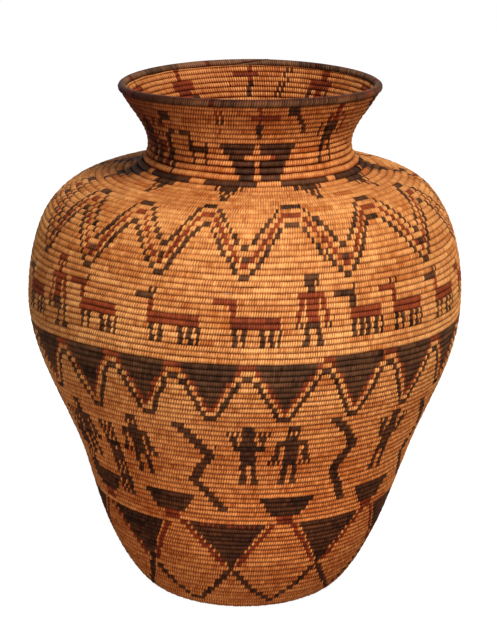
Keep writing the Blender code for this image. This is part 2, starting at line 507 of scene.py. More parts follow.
# %% Lay the section on the wall
reach = add_node(sewing, "ShaderNodeMath", [known["half_depth"], thickness], operation="MULTIPLY")
out_by = add_node(sewing, "ShaderNodeMath", [reach, out_share], operation="MULTIPLY")
up_by = add_node(
    sewing, "ShaderNodeMath", [known["half_height"], up_notched, wander], operation="MULTIPLY_ADD"
)
lean_by = add_node(sewing, "ShaderNodeMath", [up_share, given["Lean"], slip], operation="MULTIPLY_ADD")
onward = add_node(
    sewing, "ShaderNodeVectorMath", [known["uphill"], known["outward"]], operation="CROSS_PRODUCT"
)
moved = known["centre"]
for way, amount in ((known["outward"], out_by), (known["uphill"], up_by), (onward, lean_by)):
    step = add_node(sewing, "ShaderNodeVectorMath", {0: way, "Scale": amount}, operation="SCALE")
    moved = add_node(sewing, "ShaderNodeVectorMath", [moved, step], operation="ADD")
laid = add_node(sewing, "GeometryNodeSetPosition", {"Geometry": swept, "Position": moved})
smooth = add_node(sewing, "GeometryNodeSetShadeSmooth", {"Geometry": laid})
real = add_node(sewing, "GeometryNodeRealizeInstances", {"Geometry": smooth})
coil = add_node(sewing, "GeometryNodeSetMaterial", {"Geometry": real, "Material": given["Finish"]})
add_node(sewing, "NodeGroupOutput", {"Coil": coil})
print("sewing tree:", len(sewing.nodes), "nodes")

# %% [markdown]
# ## Colours
# Colours are written as sRGB hex, as a picture editor shows them. Blender's shaders work in
# linear light, so one function turns them. A second one begins a material.

# %% Colours and materials


def colour(hex_code):
    """Linear colour for an sRGB hex code."""
    channels = [int(hex_code[i : i + 2], 16) / 255 for i in (1, 3, 5)]
    linear = [c / 12.92 if c <= 0.04045 else ((c + 0.055) / 1.055) ** 2.4 for c in channels]
    return (*linear, 1)


def new_material(name, levels):
    """A material with these levels on its shader, and its node tree and its shader."""
    material = bpy.data.materials.new(name)
    material.use_nodes = True
    shader = material.node_tree.nodes["Principled BSDF"]
    for label, level in levels.items():
        shader.inputs[label].default_value = level
    return material, material.node_tree, shader


# %% [markdown]
# ## The splints' finish
# Willow splints are the outer sapwood of peeled shoots. They go from straw to orange tan as
# they grow old and are handled, with a low natural sheen. Devil's claw is the split skin of a
# seed pod, black-brown, and yucca root bark is red-brown. All are split plant fibre, so one
# material serves them, with the colour chosen by the stitch's own attributes: which plant
# it is, how its splint was toned, and how deep in a groove a point lies, where painted shade
# darkens it. The fibre's grain is a fine mottle without direction, a third of a millimetre
# wide. Real fibres are finer, and this is as coarse as shows.
# A tint goes by height: the wall is darker towards the bottom, the shoulder is toned down a
# little as painted shade, and the neck is darker under the rim, partly from handling and
# partly as painted shade. Each stop of the list has its height as a share of the basket's, a
# tint, and how much painted shade lies between the rows there.

# %% Sizes and colours of the finish
splint_ior = 1.5
splint_gloss = 0.07
crest_roughness = 0.49
groove_roughness = 0.85
grain_width = 0.35 * mm
grain_depth = 0.15 * mm
grain_relief = 0.35
grain_shades = (0.8, 1.15)
patch_width = 71.43 * mm
patch_strength = 0.22
# Tint of the painted shade on each row's lower side and between the rows
row_shade_tint = "#A25C2A"
# Tint of the painted shade in the stitch gaps, and how strong it is inside the basket
gap_shade_tint = "#7E4020"
gap_shade_inside = 1.2
opening_spacing = 7 * mm
opening_strength = 0.3
# The tint by height is partly painted shade, and counts for less inside the basket
age_and_shade_share_inside = 0.45
basket_height = 525 * mm
age_and_shade_by_height = (
    (0, "#E4C2AC", 0.8),
    (0.2, "#F9DAC6", 0.75),
    (0.38, "#FFE2D0", 0.65),
    (0.55, "#FFFFFF", 0.55),
    (0.68, "#FBF6F4", 0.45),
    (0.76, "#F6EFEA", 0.2),
    (0.81, "#F0E8E2", 0.1),
    (0.85, "#F2E4DC", 0.7),
    (0.89, "#F6E0D4", 1.0),
    (0.93, "#F0D8CA", 1.0),
    (0.965, "#D8BAA8", 0.9),
)
# Where the painted shade on the neck's left begins and is full, by height and by side, and its tint
neck_shade_from_height = 440 * mm
neck_shade_above_height = 465 * mm
neck_shade_from_side = -40 * mm
neck_shade_past_side = -95 * mm
neck_shade_tint = "#A89094"


def splint_finish(name, willow, claw, root):
    """Split willow with stitches of devil's claw and yucca root, each from pale to deep."""
    levels = {"IOR": splint_ior, "Specular IOR Level": splint_gloss}
    material, tree, shader = new_material(name, levels)
    known = {}
    for key in ("claw", "root", "tone", "row_gap", "stitch_gap", "upper_edge", "outer_side"):
        node = add_node(tree, "ShaderNodeAttribute", attribute_name=key, attribute_type="GEOMETRY")
        known[key] = node.outputs["Fac"]
    outside = known["outer_side"]
    coordinates = add_node(tree, "ShaderNodeTexCoord").outputs["Object"]
    sideways, _, height = add_node(tree, "ShaderNodeSeparateXYZ", [coordinates]).outputs

    # Tone of each splint, with a slow drift of colour over the basket
    patches = add_node(
        tree,
        "ShaderNodeTexNoise",
        {"Vector": coordinates, "Scale": 1 / patch_width, "Detail": 3.0, "Roughness": 0.6},
    )
    patchy = add_node(tree, "ShaderNodeMapRange", [patches, 0.3, 0.7, -patch_strength, patch_strength])
    tone = add_node(tree, "ShaderNodeMath", [known["tone"], patchy], operation="ADD", use_clamp=True)
    willow_splint, claw_splint, root_splint = (
        add_node(tree, "ShaderNodeMix", {0: tone, 6: colour(pale), 7: colour(deep)}, data_type="RGBA")
        for pale, deep in (willow, claw, root)
    )
    sewn = willow_splint
    for share, splint in ((known["claw"], claw_splint), (known["root"], root_splint)):
        sewn = add_node(tree, "ShaderNodeMix", {0: share, 6: sewn, 7: splint}, data_type="RGBA")

    # Grain of the fibre, a mottle that a thumb would feel
    grain = add_node(
        tree,
        "ShaderNodeTexNoise",
        {"Vector": coordinates, "Scale": 1 / grain_width, "Detail": 2.0, "Roughness": 0.6},
    )
    grain_shade = add_node(tree, "ShaderNodeMapRange", [grain, 0.25, 0.75, *grain_shades])

    # Handling and painted shade by height, as a tint, and in the alpha how much painted shade lies between
    # the rows
    up_basket = add_node(tree, "ShaderNodeMath", [height, basket_height], operation="DIVIDE")
    age_and_shade = add_node(tree, "ShaderNodeValToRGB", [up_basket])
    stops = age_and_shade.color_ramp.elements
    for position, tint, amount in age_and_shade_by_height:
        stop = stops[0] if position == 0 else stops.new(position)
        stop.color = colour(tint)[:3] + (amount,)
    stops.remove(stops[-1])
    # The ramp's alpha: how much painted shade lies between the rows at each height
    shade_by_height = age_and_shade.outputs["Alpha"]
    age_and_shade_share = add_node(tree, "ShaderNodeMapRange", [outside, 0.0, 1.0, age_and_shade_share_inside, 1.0])

    # Painted shade on each row's lower side and between the rows
    row_gap = known["row_gap"]
    row_depth = add_node(tree, "ShaderNodeMath", [row_gap, 4.0], operation="POWER")
    lower_side = add_node(tree, "ShaderNodeMath", [row_gap, known["upper_edge"]], operation="SUBTRACT")
    row_shade_raw = add_node(tree, "ShaderNodeMath", [lower_side, 0.9, row_depth], operation="MULTIPLY_ADD")
    row_shade = add_node(tree, "ShaderNodeMath", [row_shade_raw, shade_by_height], operation="MULTIPLY", use_clamp=True)

    # Painted shade in the gaps between the stitches, widest where the awl went in, more open in some places
    stitch_depth = add_node(tree, "ShaderNodeMath", [known["stitch_gap"], 1.5], operation="POWER")
    awl_hole = add_node(
        tree, "ShaderNodeMath", [known["upper_edge"], 0.5, 0.6], operation="MULTIPLY_ADD"
    )
    opening = add_node(
        tree, "ShaderNodeTexNoise", {"Vector": coordinates, "Scale": 1 / opening_spacing, "Detail": 1.0}
    )
    open_here = add_node(
        tree, "ShaderNodeMapRange", [opening, 0.35, 0.65, -opening_strength, opening_strength]
    )
    opened_hole = add_node(tree, "ShaderNodeMath", [awl_hole, open_here], operation="ADD")
    gap_shade_outside = add_node(tree, "ShaderNodeMath", [shade_by_height, 0.2, opened_hole], operation="MULTIPLY_ADD")
    gap_shade_share = add_node(tree, "ShaderNodeMapRange", [outside, 0.0, 1.0, gap_shade_inside, gap_shade_outside])
    gap_shade = add_node(
        tree, "ShaderNodeMath", [stitch_depth, gap_shade_share], operation="MULTIPLY", use_clamp=True
    )

    # Painted shade on the neck's left side, outside and above the shoulder
    on_neck = add_node(
        tree, "ShaderNodeMapRange", [height, neck_shade_from_height, neck_shade_above_height, 0.0, 1.0]
    )
    on_neck_outside = add_node(tree, "ShaderNodeMath", [on_neck, outside], operation="MULTIPLY")
    neck_left_shade = add_node(
        tree, "ShaderNodeMapRange", [sideways, neck_shade_from_side, neck_shade_past_side, 0.0, on_neck_outside]
    )

    # Each tint is multiplied in as far as its share says. The row, gap and neck tints are painted shade, and
    # the tint by height is partly painted shade
    for share, tint in (
        (1.0, grain_shade),
        (row_shade, colour(row_shade_tint)),
        (gap_shade, colour(gap_shade_tint)),
        (age_and_shade_share, age_and_shade),
        (neck_left_shade, colour(neck_shade_tint)),
    ):
        sewn = add_node(
            tree, "ShaderNodeMix", {0: share, 6: sewn, 7: tint}, data_type="RGBA", blend_type="MULTIPLY"
        )

    # Polished on the crests, duller in the grooves
    dullness = add_node(
        tree, "ShaderNodeMapRange", [gap_shade, 0.0, 1.0, crest_roughness, groove_roughness]
    )
    relief = add_node(
        tree, "ShaderNodeBump", {"Height": grain, "Strength": grain_relief, "Distance": grain_depth}
    )
    tree.links.new(sewn.outputs[2], shader.inputs["Base Color"])
    tree.links.new(dullness.outputs[0], shader.inputs["Roughness"])
    tree.links.new(relief.outputs[0], shader.inputs["Normal"])
    return material


# %% The two kinds of sewing
sewing_splints = splint_finish(
    "split_willow_sewing",
    willow=("#F2AE66", "#BA6A2E"),
    claw=("#6A462C", "#2A180C"),
    root=("#A24C28", "#662C16"),
)
rim_splints = splint_finish(
    "devils_claw_rim_sewing",
    willow=("#B8743E", "#8A4A22"),
    claw=("#9A7654", "#403024"),
    root=("#7A3A20", "#4E2012"),
)
print("finishes:", sewing_splints.name, rim_splints.name)

# %% [markdown]
# ## What is sewn where
# The design is counted in rows of the coil and placed in degrees round the basket, from the
# middle of the front, with the right hand side positive. A row begins at a seam angle and
# runs leftwards round the basket, because the coil climbs to the left. Each band of the
# design has the seam where its maker began it. The design is traditional: a net of stepped
# triangles below, people and snakes, a band of triangles at the belly, deer, a double
# zigzag on the shoulder, a star round the neck's root, and figures on the neck.

# %% Helpers of the design
WILLOW, CLAW, ROOT = 0, 1, 2


def row_at(turn, seam):
    """Row number of a stitch, for rows that begin at this seam angle."""
    first = ((start_angle - seam) / 360) % 1
    return np.floor(turn - first + 1e-6)


def block(across, row, left, right, bottom, top):
    """Stitches from left to right, in the rows from bottom to top."""
    return (across >= left) & (across <= right) & (row >= bottom) & (row <= top)


def sew_blocks(splint, across, row, blocks):
    """Sew blocks of (left, right, bottom, top, plant), each over the ones before it."""
    for left, right, bottom, top, kind in blocks:
        splint[block(across, row, left, right, bottom, top)] = kind


def stepped_line(across, row, points, width):
    """Stitches on a line through points of (row, degrees), which climbs row by row."""
    rows, places = zip(*points)
    middle = np.interp(row, rows, places)
    return (np.abs(across - middle) <= width / 2) & (row >= rows[0]) & (row <= rows[-1])


# %% The net of triangles round the lower wall
net_seam = -25
open_seam = 180
net_triangles = (
    (-77.5, 13, 13),
    (-41, 15, 10),
    (-4.5, 15.5, 12.5),
    (33, 12.5, 13.5),
    (70, 13, 13),
    (106, 13, 13),
    (142, 13, 13),
    (178, 13, 13),
    (214, 13, 13),
    (248, 13, 13),
)
small_triangles = (-57.5, -26.5, 14.6, 50.2, 88, 124, 160, 196, 231, 266)


def sew_net(splint, angle, turn, luck):
    """Hanging triangles, their red edges, and the black lines that cross below them."""
    row = row_at(turn, net_seam)
    count = len(net_triangles)
    for index, (apex, left, right) in enumerate(net_triangles):
        across = away(angle, apex)
        left_apex = net_triangles[index - 1][0]
        right_apex = net_triangles[(index + 1) % count][0]
        for side, spread, next_apex in ((-1, left, left_apex), (1, right, right_apex)):
            reach = across * side
            meeting = away(next_apex, apex) * side / 2
            leg = ((17, meeting - 0.6), (21, 7.4), (24, 2.2))
            splint[stepped_line(reach, row, leg, 3.2)] = CLAW
            edge = ((26, 3.4), (35, spread + 2.2))
            splint[stepped_line(reach, row, edge, 2.2)] = ROOT
            half = 1.5 + (spread - 1.5) * (row - 26) / 9
            splint[(reach >= 0) & (reach <= half) & (row >= 26) & (row <= 35)] = CLAW
        splint[block(across, row, -1.3, 1.3, 25, 25)] = CLAW
    worn = block(angle, row, -22, 9, 35, 35)
    splint[worn & (luck > 0.62)] = ROOT
    row = row_at(turn, open_seam)
    for centre in small_triangles:
        across = away(angle, centre)
        splint[block(across, row, -3, 3, 36, 37)] = ROOT
        half = 5.6 + 1.2 * (row - 38)
        splint[(np.abs(across) <= half) & (row >= 38) & (row <= 41)] = CLAW


# %% People, snakes and ladders
def sew_person(splint, across, row, foot, arms_up, left_leg, right_leg):
    """A standing person, twelve rows tall, with its legs at these degrees from its middle."""
    up = row - foot
    person = block(across, up, -2.3, 2.2, 4, 8)
    person |= block(across, up, -1.7, 1.7, 8, 11)
    for leg, side in ((left_leg, -1), (right_leg, 1)):
        stance = (across - leg) * side
        person |= block(stance, up, -0.85, 0.85, 0, 3)
        person |= block(stance, up, -0.85, 1.4, 0, 0)
    if arms_up:
        person |= block(across, up, -4.7, 4.5, 7, 7)
        for side in (-1, 1):
            arm = across * side
            person |= block(arm, up, 3.4, 4.7, 8, 8)
            person |= block(arm, up, 3.1, 5.3, 9, 9)
            for finger in (3.1, 4.4, 5.7):
                person |= block(arm, up, finger - 0.35, finger + 0.35, 10, 10)
    else:
        person |= block(across, up, -4.4, 4.7, 8, 8)
        for side in (-1, 1):
            arm = across * side
            person |= block(arm, up, 3.3, 4.8, 6, 7)
            person |= block(arm, up, 3.4, 5.6, 5, 5)
            for finger in (3.4, 4.8, 6.2):
                person |= block(arm, up, finger - 0.4, finger + 0.4, 4, 4)
        person &= ~block(np.abs(across), up, 0.5, 1.0, 10, 10)
    splint[person] = CLAW


people = (
    (-56.5, False, -1.8, 1.6),
    (-33.4, False, -1.7, 1.9),
    (1.1, True, -1.7, 1.6),
    (13.6, False, -1.6, 1.7),
    (47.6, True, -1.8, 1.6),
    (84, False, -1.8, 1.6),
    (97, True, -1.8, 1.6),
    (131, False, -1.8, 1.6),
    (160, True, -1.8, 1.6),
    (205, False, -1.8, 1.6),
    (218, True, -1.8, 1.6),
    (246, False, -1.8, 1.6),
    (282, True, -1.8, 1.6),
)
left_snake = ((39, 7.3), (42, 2.5), (45, -1.8), (47.5, 0.4), (50.3, 4.3), (53, 0.5), (56, -4.0))
right_snake = ((40, 7.3), (43, 4), (46.5, 0.6), (49, 3), (51.5, 5.6), (54, 2.5), (57, -2.2))
snakes = ((-14.5, left_snake), (28, right_snake), (66, left_snake), (114, right_snake))
snakes += ((180, left_snake), (232, right_snake), (268, left_snake))


def sew_figures(splint, angle, turn, stitch, luck):
    """People, snakes and ladders in the open field above the net."""
    row = row_at(turn, open_seam)
    for centre, arms_up, left_leg, right_leg in people:
        sew_person(splint, away(angle, centre), row, 45, arms_up, left_leg, right_leg)
    for centre, sway in snakes:
        splint[stepped_line(away(angle, centre), row, sway, 3.4)] = CLAW
    for centre in (-44.5, 146, 296):
        across = away(angle, centre)
        ladder = block(across, row, -2.8, 2.8, 39, 53)
        rung = (stitch % 2 == 0) | (np.abs(across) > 1.9)
        splint[ladder & rung] = CLAW
        whole = ((row >= 41) & (row <= 42)) | ((row >= 46) & (row <= 49))
        splint[ladder & whole & (luck < 0.9)] = CLAW


# %% [markdown]
# The belly band is a row of dark triangles that hang from one line. From each peak between
# two triangles a black line steps down, then come a tan step, a red step, and the dark
# field. The same few numbers draw all nineteen.

# %% The belly band
belly_seam = 19.5
belly_points = (-63.5, -44, -26.5, -9, 10.5, 30, 48.5, 67.5, 86.5, 105.5)
belly_points += (124.5, 143.5, 162.5, 181.5, 200.5, 219.5, 238.5, 257.5, 277)
belly_point_rows = {-44: 57, 30: 57, 48.5: 57}


def sew_belly(splint, angle, turn):
    """The band of hanging triangles at the belly."""
    row = row_at(turn, belly_seam)
    for index, point in enumerate(belly_points):
        across = away(angle, point)
        before = away(belly_points[index - 1], point) / 2
        after = away(belly_points[(index + 1) % len(belly_points)], point) / 2
        bottom = belly_point_rows.get(point, 58)
        for side, half in ((-1, -before), (1, after)):
            here = (across * side >= 0) & (across * side < half) & (row >= bottom) & (row <= 68)
            from_peak = half - across * side
            line = 2.4 + (half - 3.6) * (65 - row) / (65 - bottom)
            tan_end = np.select([row == 66, row == 67, row == 68], [3.0, 1.9, -1], line + 1.9)
            red_end = np.select([row == 66, row == 67, row == 68], [3.8, 2.9, 2.3], line + 2.9)
            splint[here & (from_peak > tan_end)] = ROOT
            splint[here & (from_peak > red_end)] = CLAW
            splint[here & (np.abs(from_peak - line) <= 0.7) & (row <= 65)] = CLAW
            splint[here & (from_peak <= 1.4) & (row == 66)] = CLAW
            splint[here & (across * side <= 1.9) & (row == bottom)] = CLAW


# %% Deer and people above the belly
deer_seam = 21.6


def sew_deer(splint, angle, row, left, length, head, neck_rows, horned):
    """A deer that faces left: its body's left end, its length, and its head's splint."""
    muzzle = 77 + neck_rows
    blocks = [(-0.2, 1.4, 77, muzzle - 1, ROOT), (-4.2, 1.3, muzzle, muzzle, head)]
    if horned:
        blocks += [(horn - 0.28, horn + 0.28, muzzle + 1, muzzle + 1, CLAW) for horn in (-0.1, 1.6)]
    blocks += [(0, length, 75, 76, ROOT)]
    legs = (1.2, 3.4, length - 4.2, length - 1.9, length + 0.1)
    leg_halves = (0.6, 0.55, 0.65, 0.65, 0.35)
    blocks += [(leg - half, leg + half, 72, 74, CLAW) for leg, half in zip(legs, leg_halves)]
    sew_blocks(splint, away(angle, left), row, blocks)


deer = (
    (-75.5, 12, CLAW, 1, True),
    (-46, 12.2, ROOT, 2, True),
    (-24.6, 13, CLAW, 2, True),
    (-3.6, 12, ROOT, 2, False),
    (26.7, 9.4, CLAW, 2, True),
    (39.9, 10.6, ROOT, 2, True),
    (57.5, 11, CLAW, 2, True),
    (76, 11.5, ROOT, 1, True),
    (108, 12, CLAW, 1, True),
    (127, 11, ROOT, 1, True),
    (160, 12, CLAW, 1, True),
    (179, 12, ROOT, 1, True),
    (198, 11.5, CLAW, 1, True),
    (229, 12, ROOT, 1, True),
    (248, 11.5, CLAW, 1, True),
)


def sew_red_person(splint, angle, row, centre, top, torso_rows, hip_rows, leg_shift, head):
    """A person in red with dark hips and legs, from the head's row down."""
    across = away(angle, centre)
    up = row - top
    hips = -4 - torso_rows
    legs = hips - hip_rows
    body = (
        (-1.9, 1.9, 0, 0, head),
        (-1.8, -1.0, -1, -1, head),
        (-0.5, 0.5, -1, -1, head),
        (1.0, 1.8, -1, -1, head),
        (-0.9, 0.9, -2, -2, head),
        (-3.6, 3.1, -3, -3, ROOT),
        (-1.6, 1.6, hips + 1, -4, ROOT),
        (-1.9, 1.9, legs + 1, hips, CLAW),
    )
    arm = (
        (2.4, 3.5, -5, -4, ROOT),
        (3.0, 4.2, -7, -6, ROOT),
        (2.9, 3.5, -8, -8, CLAW),
        (4.0, 4.6, -8, -8, CLAW),
    )
    leg = ((0.9, 2.1, legs - 1, legs, CLAW), (0.9, 2.8, legs - 2, legs - 2, CLAW))
    sew_blocks(splint, across, up, body)
    for side in (-1, 1):
        sew_blocks(splint, across * side, up, arm)
        sew_blocks(splint, (across - leg_shift) * side, up, leg)


red_people = (
    (-56, 82, 3, 2, 2.4, ROOT),
    (16.8, 83, 4, 1, 0, CLAW),
    (96, 83, 4, 1, 0, CLAW),
    (148, 83, 4, 1, 0, ROOT),
    (217, 83, 4, 1, 0, CLAW),
    (270, 83, 4, 1, 0, ROOT),
)


def sew_animals(splint, angle, turn):
    """Deer and people round the widest turns."""
    row = row_at(turn, deer_seam)
    for left, length, head, neck_rows, horned in deer:
        sew_deer(splint, angle, row, left, length, head, neck_rows, horned)
    splint[block(away(angle, 26.7), row, 0.2, 1.7, 77, 79)] = CLAW
    for centre, top, torso_rows, hip_rows, leg_shift, head in red_people:
        sew_red_person(splint, angle, row, centre, top, torso_rows, hip_rows, leg_shift, head)


# %% [markdown]
# The shoulder's zigzag is two black lines with a red one between them. Each line starts
# from a short level foot, steps up one row at a time, and ends in a level cap, where it
# meets the line from the other side.

# %% The zigzag on the shoulder
zigzag_feet = ((-67, 82), (-45.5, 82), (-23, 83), (-0.5, 83), (27, 82), (55.5, 82), (82, 82))
zigzag_feet += tuple((place, 82) for place in (108, 134, 160, 186, 212, 239, 266))
inner_caps = ((-58.5, 91, 1), (-35.5, 91, 1), (-12.7, 92, 1.3), (12.8, 92, 2.4), (40.5, 91, 2.5), (68, 91, 2))
outer_caps = ((-60.3, 95, 3.2), (-36.5, 95, 3), (-13.5, 96, 2.5), (14, 96, 3.5), (43, 95, 3.7), (68.5, 95, 3))
back_caps = (95, 121, 147, 173, 199, 225, 252, 279)
inner_caps += tuple((place, 91, 2) for place in back_caps)
outer_caps += tuple((place, 95, 3) for place in back_caps)
zigzag_width = 1.35


def sew_climb(splint, reach, row, foot_row, foot_half, run, cap_row, cap_half, kind):
    """One line of the zigzag, from its foot to its cap, which lies this many degrees away."""
    climbed = (row - foot_row) / (cap_row - foot_row)
    middle = foot_half + climbed * (run - cap_half - foot_half)
    line = (np.abs(reach - middle) <= zigzag_width / 2) & (row > foot_row) & (row < cap_row)
    foot = (np.abs(reach) <= foot_half) & (row == foot_row)
    cap = (np.abs(reach - run) <= cap_half) & (row == cap_row)
    splint[line | foot | cap] = kind


def sew_zigzag(splint, angle, turn):
    """Two black zigzags with a red one between them."""
    row = row_at(turn, deer_seam)
    for index, (foot_angle, foot_row) in enumerate(zigzag_feet):
        for other, side in ((index, 1), (index - 1, -1)):
            reach = away(angle, foot_angle) * side
            inner_angle, inner_row, inner_half = inner_caps[other]
            outer_angle, outer_row, outer_half = outer_caps[other]
            inner_run = away(inner_angle, foot_angle) * side
            outer_run = away(outer_angle, foot_angle) * side
            red_run = (inner_run + outer_run) / 2
            red_half = (inner_half + outer_half) / 2
            red_row = outer_row - 2
            sew_climb(splint, reach, row, foot_row + 2, 0.9, red_run, red_row, red_half, ROOT)
            sew_climb(splint, reach, row, foot_row, 1.2, inner_run, inner_row, inner_half, CLAW)
            sew_climb(splint, reach, row, foot_row + 5, 1, outer_run, outer_row, outer_half, CLAW)
            splint[(np.abs(reach) < 0.9) & (row == foot_row + 3)] = CLAW


# %% The star round the neck's root, and the neck
neck_seam = 95
star_points = ((-44.5, 98, 3.6), (-10, 98, 3.6), (28, 98, 3.6), (60, 98, 5), (90, 97, 8), (118, 97, 9))
star_points += ((147, 98, 6), (175, 98, 4), (202, 98, 4), (228, 97, 8), (254, 96, 10), (283, 97, 8))

neck_figures = (
    (
        (4.4, 100, 180, 252),
        ((-1.2, 1.2, 110, 112, CLAW), (-0.9, 0.9, 113, 116, ROOT), (-4.4, 9, 114, 114, ROOT)),
    ),
    (
        (218,),
        (
            (-7, 6, 112, 113, ROOT),
            (-4, 3.5, 110, 112, ROOT),
            (-1, 2.4, 114, 116, ROOT),
            (-8, -4, 110, 110, CLAW),
        ),
    ),
    (
        (140,),
        (
            (-6, 6.5, 112, 113, ROOT),
            (-2.6, 1.6, 110, 116, ROOT),
            (-6.1, -4.1, 110, 111, CLAW),
            (5.1, 7.1, 110, 111, CLAW),
        ),
    ),
    (
        (-14, 80),
        (
            (-1.6, -0.7, 111, 115, ROOT),
            (0.7, 1.6, 111, 115, ROOT),
            (-1.6, -0.7, 112, 113, CLAW),
            (0.7, 1.6, 112, 113, CLAW),
        ),
    ),
    ((18.5, 71), ((-2, 3, 115, 116, CLAW),)),
    (
        (43.5, 265),
        (
            (-4, 3.6, 109, 112, CLAW),
            (-1.6, 1.6, 113, 116, ROOT),
            (-7.6, -6.2, 110, 112, CLAW),
            (6.6, 8.2, 110, 113, ROOT),
            (-2.6, -0.6, 105, 108, CLAW),
        ),
    ),
    (
        (-29, 290),
        (
            (-5, 5.5, 107, 107, CLAW),
            (-10, -2.5, 110, 110, CLAW),
            (-5, -3.4, 108, 109, CLAW),
            (4.3, 6, 108, 108, CLAW),
            (-3.6, -2.4, 105, 106, CLAW),
            (3.4, 4.8, 105, 106, CLAW),
        ),
    ),
)
slanting_lines = (
    ((160.5, 163), ((110, 2.4), (115, -2)), 0.9),
    ((18.5, 71), ((111, 8.5), (115, 2.4)), 2.4),
    ((43.5, 265), ((105, 6.4), (108, 3.4)), 2.2),
)
crowded_figures = (
    (-68, -61.5, 106, 111, CLAW),
    (-66, -57, 108, 108, ROOT),
    (-59.5, -55.5, 104, 107, CLAW),
    (-56, -51, 106, 107, ROOT),
    (-50, -46.5, 105, 109, CLAW),
    (-47, -44.5, 103, 104, CLAW),
    (-52, -46, 111, 111, ROOT),
    (-45.5, -41.5, 110, 110, CLAW),
    (-46.3, -40.5, 113, 114, CLAW),
)


def sew_star(splint, angle, row):
    """Dark points that hang from the neck's root, each with a tan line inside its edge."""
    for centre, tip, spread in star_points:
        across = np.abs(away(angle, centre))
        half = np.interp(row, (tip, tip + 1, 100, 101, 102), (1.2, 2, spread, spread + 3.2, 13.5))
        point = (across <= half) & (row >= tip) & (row <= 102)
        tan_line = (across > half - 2.4) & (across <= half - 1.5) & (row < 102)
        splint[point & ~tan_line] = CLAW


def sew_neck(splint, angle, turn):
    """The star and the figures above it. What is sewn at the back shows inside the mouth."""
    row = row_at(turn, neck_seam)
    sew_star(splint, angle, row)
    for middle in (3.6, 123.6, 243.6):
        across = away(angle, middle)
        splint[block(across, row, -0.6, 11.4, 102, 102)] = WILLOW
        up = row - 103
        left = block(across, up, -8.6, -1.6, 0, 5) | ((across < -1.6) & (across >= -8.6 - 2.3 * up))
        right = (across > 1.8) & (across <= 12.4 + 1.75 * up)
        splint[(left | right) & (up >= 0) & (up <= 5)] = CLAW
        splint[block(across, row, -7.1, 7.4, 106, 106)] = WILLOW
        splint[block(across, row, 7.4, 10.5, 106, 106)] = ROOT
    for middles, blocks in neck_figures:
        for middle in middles:
            sew_blocks(splint, away(angle, middle), row, blocks)
    for middles, points, width in slanting_lines:
        for middle in middles:
            splint[stepped_line(away(angle, middle), row, points, width)] = CLAW
    luck = luck_of(turn)
    for middle in (43.5, 265):
        worn = block(away(angle, middle), row, -5.4, 6.5, 113, 114)
        splint[worn & (luck < 0.5)] = ROOT
    crowd = block(angle, row, -72, -46, 104, 112) & (luck_of(turn / 2) < 0.4)
    splint[crowd] = ROOT
    splint[crowd & (luck < 0.5)] = CLAW
    sew_blocks(splint, angle, row, crowded_figures)


# %% [markdown]
# Each stitch draws its luck from its own place on the coil, so that the same stitch always
# has the same splint, however the coil is cut into pieces. A splint lasts for about a
# dozen stitches, and the next one is a shade paler or darker.

# %% Which splint each stitch is
def luck_of(turn):
    """A number from 0 to 1 that looks random but belongs to this place on the coil."""
    scattered = np.sin(np.floor(turn * 1999) * 12.9898) * 43758.5453
    return scattered - np.floor(scattered)


def body_splints(turn, stitch):
    """The plant of each stitch of the body, by its place on the coil."""
    angle = away(start_angle - 360 * turn, 0)
    luck = luck_of(turn)
    splint = np.zeros(len(turn), int)
    sew_net(splint, angle, turn, luck)
    sew_figures(splint, angle, turn, stitch, luck)
    sew_belly(splint, angle, turn)
    sew_animals(splint, angle, turn)
    sew_zigzag(splint, angle, turn)
    sew_neck(splint, angle, turn)
    return splint


rim_start_angle = 180
rim_patches = ((-63, 2, WILLOW), (-60, 2, ROOT), (-16.5, 1.2, ROOT), (61, 2.5, WILLOW), (97, 2, ROOT))
rim_patches += ((146, 1.5, ROOT), (201, 1, ROOT), (255, 2, ROOT))


def rim_splint_kinds(turn, stitch):
    """The rim turn is dark, with a few other splints where the maker ran out."""
    angle = away(rim_start_angle - 360 * turn, 0)
    splint = np.full(len(turn), CLAW)
    for centre, half, kind in rim_patches:
        splint[np.abs(away(angle, centre)) < half] = kind
    return splint


# %% [markdown]
# ## From path to finished piece
# The modifier's sizes are set by socket identifier before the first evaluation. The result
# is made a plain mesh, and each of its faces learns its stitch. The stitch's plant and tone
# are kept as attributes for the finish. The map called OFBake lays the coil out in strips,
# so that every stitch has its own patch of texture if the finish is ever baked.

# %% Make a piece of coil
usual_stitch = 2.4 * mm
strip_share = 0.98
cap_column = 0.992
cap_spacing = 0.02
cap_radius = 0.006
tone_seed = 7
splint_stitches = (7, 16)


def socket_name(tree, label):
    """Identifier of a tree's input, which is how a modifier knows it."""
    for socket in tree.interface.items_tree:
        if socket.name == label and socket.in_out == "INPUT":
            return socket.identifier
    raise ValueError(label)


def read_values(mesh, name, size):
    """An attribute's values as an array."""
    layer = mesh.attributes[name]
    values = np.empty(len(layer.data) * size, np.float32)
    layer.data.foreach_get("vector" if size == 3 else "value", values)
    return values.reshape(-1, size) if size > 1 else values


def whole_numbers(items, key):
    """One whole number from each of a mesh's faces or corners."""
    values = np.empty(len(items), np.int32)
    items.foreach_get(key, values)
    return values


def write_values(mesh, name, domain, values):
    """Keep an array as an attribute of the mesh."""
    layer = mesh.attributes.new(name, "FLOAT", domain)
    layer.data.foreach_set("value", np.ascontiguousarray(values, np.float32))


def splint_tones(count, seed):
    """Tone of each stitch: one value for a splint's run, and a little for the stitch."""
    random = np.random.default_rng(seed)
    runs = random.integers(*splint_stitches, size=count)
    tones = np.repeat(random.normal(0.42, 0.18, size=count), runs)[:count]
    return np.clip(tones + random.normal(0, 0.15, size=count), 0, 1)


